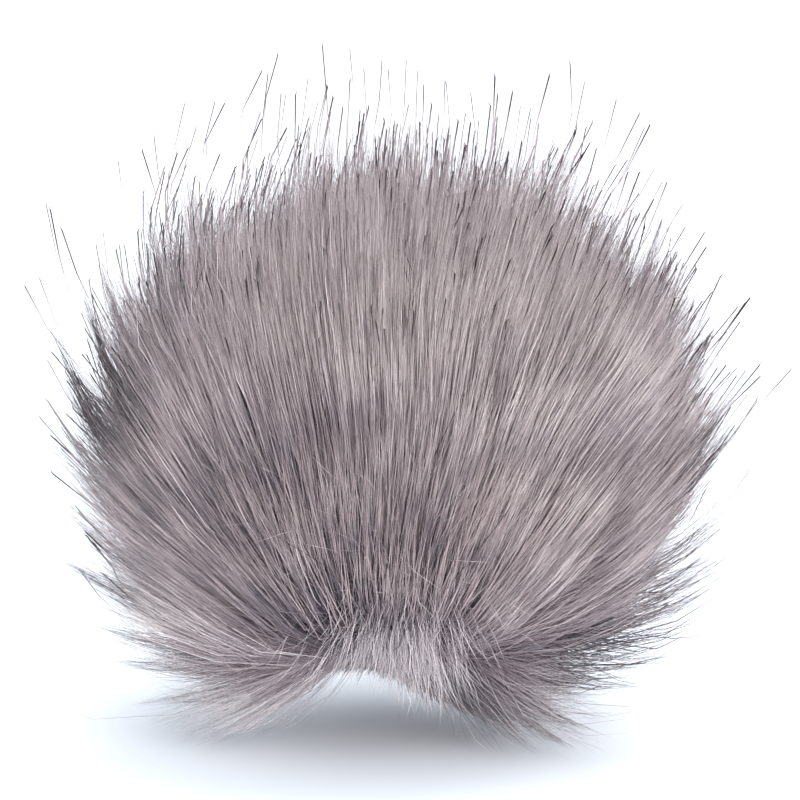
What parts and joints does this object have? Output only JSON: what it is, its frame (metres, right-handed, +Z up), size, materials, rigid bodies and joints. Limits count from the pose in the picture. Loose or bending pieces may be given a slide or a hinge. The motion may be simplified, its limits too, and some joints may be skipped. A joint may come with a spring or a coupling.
{
  "type": "pom pom",
  "caption": "Round long-pile faux fur pom pom in mauve-grey, its pile parted at a small gathered base and combed up round the ball, standing on its lowest locks.",
  "frame": {"origin": "on the floor, under the middle of the pom pom's box", "axes": "+Z up; the gathered base is turned down and towards -Y, the side that the pom pom is seen from"},
  "size_m": [0.1216, 0.1174, 0.1159],
  "materials": {
    "fur_pile": "long soft synthetic fur pile, mauve-grey with darker guard hair tips"
  },
  "bodies": {
    "root": {"fur_ball": "fur_pile"}
  },
  "joints": []
}
